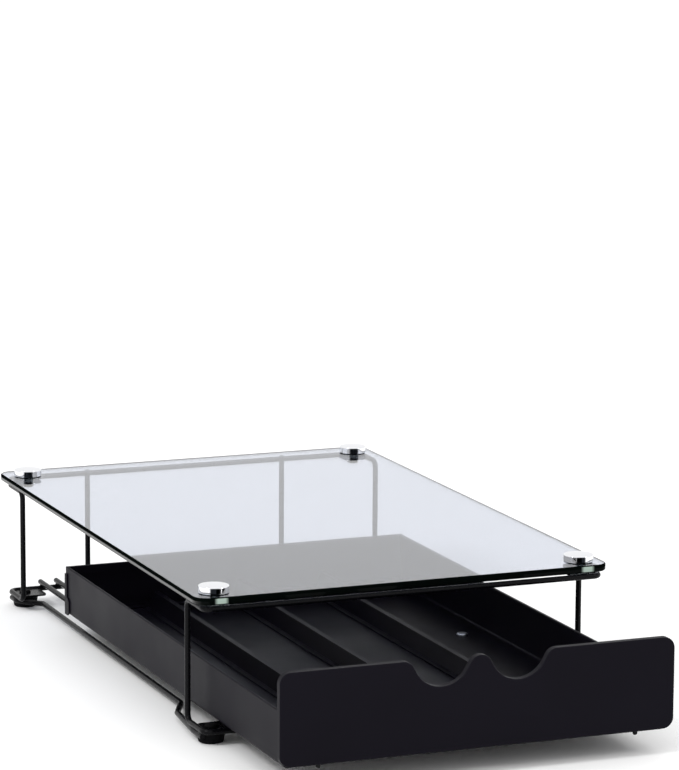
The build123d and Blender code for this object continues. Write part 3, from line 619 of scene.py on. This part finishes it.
class SetStage(bpy.types.Operator):
    """Sets the floor, the soft light all round, the lamps and the camera"""
    bl_idname = "pod_drawer.set_stage"
    bl_label = "Stage"

    def execute(self, context):
        studio = context.scene.pod_drawer_studio
        self.floor(context.scene.pod_drawer_colours)
        self.sky(context.scene, studio)
        self.lamp("key_lamp", KEY_PLACE, studio.key)
        self.lamp("fill_lamp", FILL_PLACE, studio.fill)
        self.camera(context.scene, studio)
        context.scene.view_settings.view_transform = "Standard"
        return {"FINISHED"}

    def floor(self, look):
        """A flat square of matt paper."""
        mesh = bpy.data.meshes.new("studio_floor")
        square = [(-FLOOR_HALF, -FLOOR_HALF, 0), (FLOOR_HALF, -FLOOR_HALF, 0),
                  (FLOOR_HALF, FLOOR_HALF, 0), (-FLOOR_HALF, FLOOR_HALF, 0)]
        mesh.from_pydata(square, [], [(0, 1, 2, 3)])
        material, tree = new_material("matt_paper_backdrop")
        shader = add(tree, "ShaderNodeBsdfPrincipled", {
            "Base Color": look.floor, "Roughness": 0.9, "Specular IOR Level": 0.0})
        add(tree, "ShaderNodeOutputMaterial", {"Surface": shader.outputs[0]})
        mesh.materials.append(material)
        floor = new_object("studio_floor", mesh)

    def sky(self, scene, studio):
        """Even soft light, plain white where the camera, mirrors and glass see it."""
        world = bpy.data.worlds.new("studio_sky")
        scene.world = world
        world.use_nodes = True
        tree = world.node_tree
        tree.nodes.clear()
        light = add(tree, "ShaderNodeBackground", {"Color": WHITE, "Strength": studio.sky})
        plain = add(tree, "ShaderNodeBackground", {"Color": WHITE, "Strength": 1.0})
        path = add(tree, "ShaderNodeLightPath")
        seen = add(tree, "ShaderNodeMath", {
            0: path.outputs["Is Camera Ray"], 1: path.outputs["Is Glossy Ray"]},
            operation="MAXIMUM")
        seen = add(tree, "ShaderNodeMath", {
            0: seen.outputs[0], 1: path.outputs["Is Transmission Ray"]}, operation="MAXIMUM")
        both = add(tree, "ShaderNodeMixShader", {
            0: seen.outputs[0], 1: light.outputs[0], 2: plain.outputs[0]})
        add(tree, "ShaderNodeOutputWorld", {"Surface": both.outputs[0]})

    def lamp(self, name, place, watts):
        """A square soft lamp that faces the middle of the object."""
        data = bpy.data.lights.new(name, "AREA")
        data.energy, data.size = watts, LAMP_SIZE
        lamp = new_object(name, data)
        lamp.location = place
        x, y, z = np.array(LAMP_AIM) - np.array(place)
        lamp.rotation_euler = (math.atan2(math.hypot(x, y), -z), 0, math.atan2(-x, y))

    def camera(self, scene, studio):
        """A camera turned by yaw about Z, pitch down, then roll."""
        yaw, pitch, roll = studio.yaw, studio.pitch, studio.roll
        ahead = np.array([math.sin(yaw), math.cos(yaw), 0.0])
        right = np.array([math.cos(yaw), -math.sin(yaw), 0.0])
        up = np.array([0.0, 0.0, 1.0])
        sight = ahead * math.cos(pitch) - up * math.sin(pitch)
        crown = up * math.cos(pitch) + ahead * math.sin(pitch)
        side = right * math.cos(roll) + crown * math.sin(roll)
        top = -right * math.sin(roll) + crown * math.cos(roll)
        data = bpy.data.cameras.new("photo_camera")
        data.sensor_width = SENSOR_WIDTH_MM
        data.lens = studio.lens
        data.clip_start, data.clip_end = CLIP_NEAR, CLIP_FAR
        camera = new_object("photo_camera", data)
        # the matrix is set column by column
        camera.matrix_world = [[*side, 0], [*top, 0], [*-sight, 0], [*studio.eye, 1]]
        scene.camera = camera


class PodDrawerPanel(bpy.types.Panel):
    """The pieces, their sizes and their colours"""
    bl_idname = "VIEW3D_PT_pod_drawer"
    bl_label = "Pod Drawer"
    bl_space_type = "VIEW_3D"
    bl_region_type = "UI"
    bl_category = "Pod Drawer"

    def draw(self, context):
        for operator in OPERATORS:
            self.layout.operator(operator.bl_idname)
        for group in (context.scene.pod_drawer_sizes, context.scene.pod_drawer_colours,
                      context.scene.pod_drawer_studio):
            box = self.layout.box()
            for name in group.bl_rna.properties.keys():
                if name not in ("rna_type", "name"):
                    box.prop(group, name)


OPERATORS = (FinishGlass, FinishCaps, FinishStand, AddWelds, FinishFeet, FinishDrawer,
             FinishGuides, SetStage)
GROUPS = {"pod_drawer_colours": PodDrawerColours, "pod_drawer_sizes": PodDrawerSizes,
          "pod_drawer_studio": PodDrawerStudio}


def register():
    """Registers the settings, the operators and the panel."""
    for group in GROUPS.values():
        bpy.utils.register_class(group)
    for name, group in GROUPS.items():
        setattr(bpy.types.Scene, name, PointerProperty(type=group))
    for operator in OPERATORS:
        bpy.utils.register_class(operator)
    bpy.utils.register_class(PodDrawerPanel)


def unregister():
    """Takes all of it out again."""
    bpy.utils.unregister_class(PodDrawerPanel)
    for operator in reversed(OPERATORS):
        bpy.utils.unregister_class(operator)
    for name, group in GROUPS.items():
        delattr(bpy.types.Scene, name)
        bpy.utils.unregister_class(group)


def main():
    register()
    bpy.ops.pod_drawer.set_stage()
    bpy.ops.pod_drawer.finish_glass()
    bpy.ops.pod_drawer.finish_caps()
    bpy.ops.pod_drawer.finish_stand()
    bpy.ops.pod_drawer.add_welds()
    bpy.ops.pod_drawer.finish_feet()
    bpy.ops.pod_drawer.finish_drawer()
    bpy.ops.pod_drawer.finish_guides()


if __name__ == "__main__":
    main()
